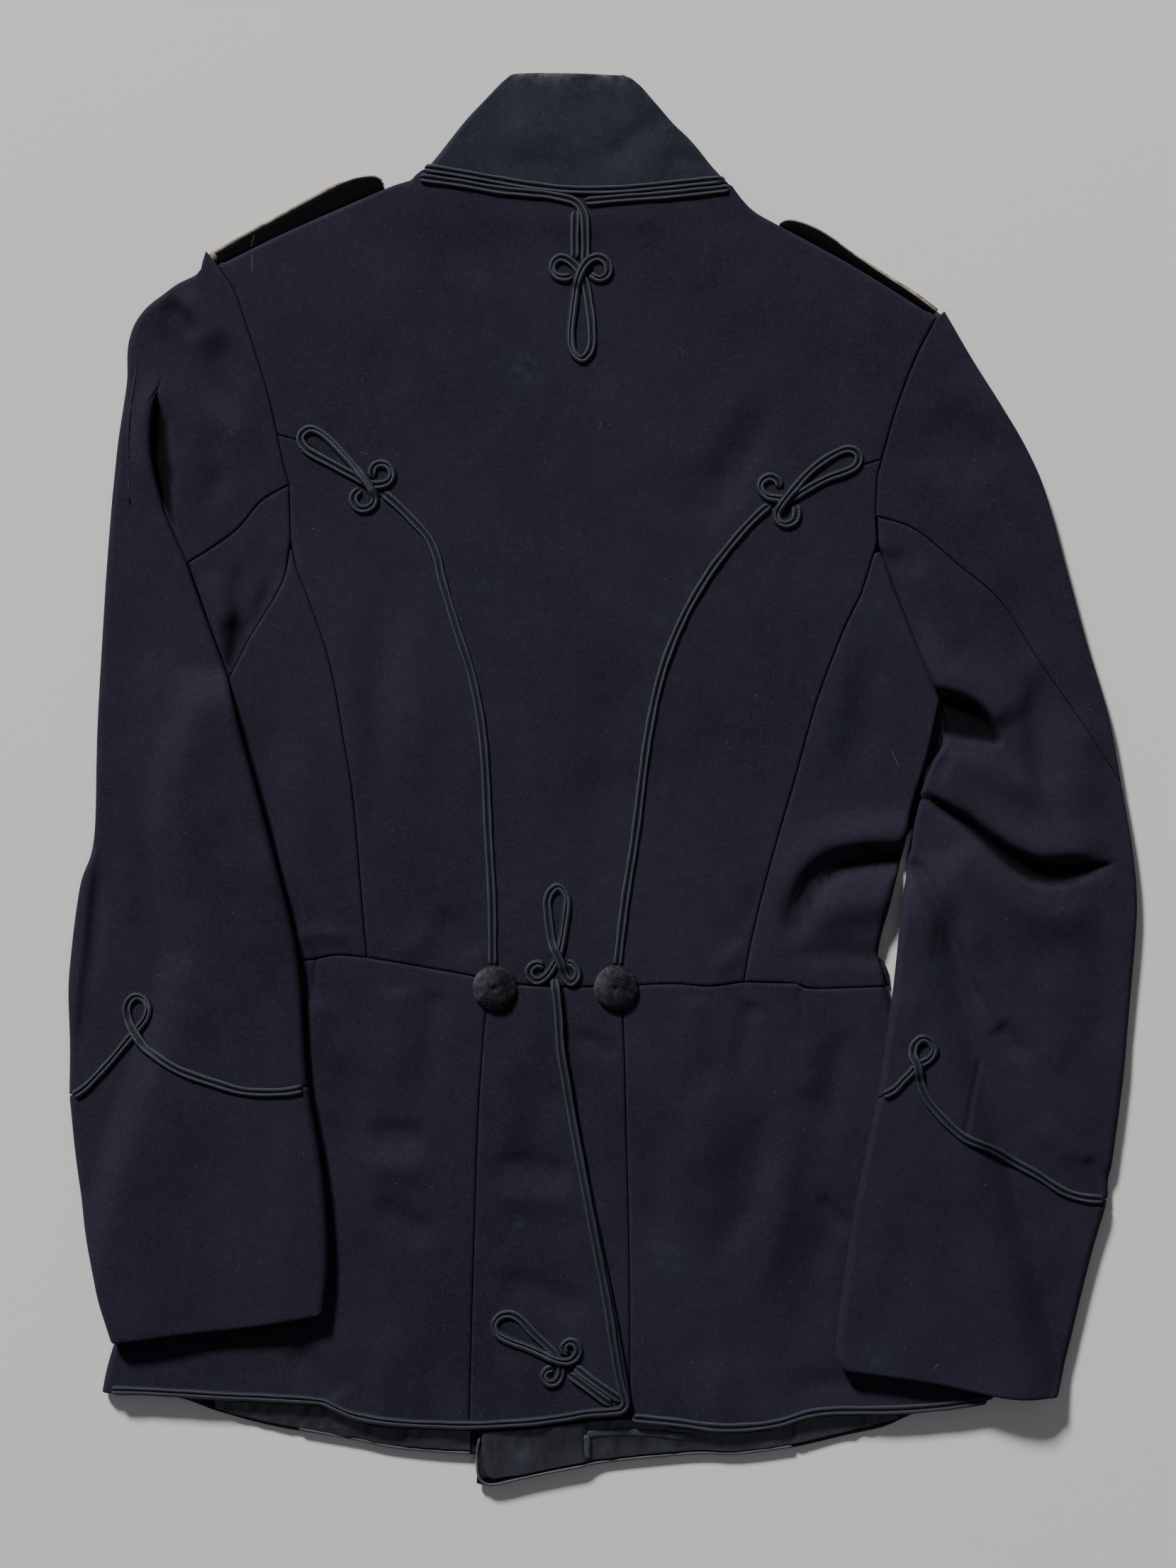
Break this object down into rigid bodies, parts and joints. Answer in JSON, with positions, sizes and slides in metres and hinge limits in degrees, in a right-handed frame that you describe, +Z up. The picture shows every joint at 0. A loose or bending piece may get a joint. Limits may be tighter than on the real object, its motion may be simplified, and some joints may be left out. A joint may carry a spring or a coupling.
{
  "type": "hussar tunic",
  "caption": "Dark navy wool hussar tunic laid flat with its back up: stand collar, braided back seams, trefoil knots, pointed cuffs and a short vented skirt.",
  "frame": {"origin": "middle of the footprint, at the surface that the tunic lies on", "axes": "+X is the wearer's right, +Y runs from the hem to the collar, +Z up out of the back"},
  "size_m": [0.6037, 0.7984, 0.0225],
  "materials": {
    "navy_melton": "fulled wool with a short nap, matt",
    "collar_melton": "the same wool, a little greyer and worn pale along the top edge",
    "black_satin": "lining satin with a soft sheen and small puckers",
    "strap_cloth": "dark cloth underside of the straps, pale metal lace along the outer edge",
    "navy_braid": "two-ridged plaited braid with a low sheen",
    "button_cord": "netted cord over a domed mould, satin sheen"
  },
  "bodies": {
    "root": {"back_centre": "navy_melton", "side_body_left": "navy_melton", "side_body_right": "navy_melton", "front_side_left": "navy_melton", "front_side_right": "navy_melton", "front_left": "navy_melton", "front_right": "navy_melton", "skirt_left": "navy_melton", "skirt_right": "navy_melton", "back_skirt_left": "navy_melton", "back_skirt_right": "navy_melton", "skirt_front_left": "navy_melton", "skirt_front_right": "navy_melton", "sleeve_left_top": "navy_melton", "sleeve_left_head": "navy_melton", "sleeve_left_under": "navy_melton", "sleeve_left_floor": "navy_melton", "sleeve_right_top": "navy_melton", "sleeve_right_under": "navy_melton", "sleeve_right_floor": "navy_melton", "cuff_left": "navy_melton", "cuff_left_floor": "navy_melton", "cuff_right": "navy_melton", "cuff_right_floor": "navy_melton", "collar": "collar_melton", "collar_front_left": "collar_melton", "collar_front_right": "collar_melton", "lining_left": "black_satin", "lining_right": "black_satin", "shoulder_strap_left": "strap_cloth", "shoulder_strap_right": "strap_cloth", "neck_braid": "navy_braid", "neck_braid_low": "navy_braid", "back_braid_left": "navy_braid", "back_braid_right": "navy_braid", "vent_braid": "navy_braid", "hem_braid_left": "navy_braid", "hem_braid_right": "navy_braid", "neck_trefoil": "navy_braid", "back_trefoil_left": "navy_braid", "back_trefoil_right": "navy_braid", "waist_trefoil": "navy_braid", "vent_trefoil": "navy_braid", "cuff_braid_left": "navy_braid", "cuff_braid_right": "navy_braid", "button_left": "button_cord", "button_right": "button_cord"}
  },
  "joints": []
}
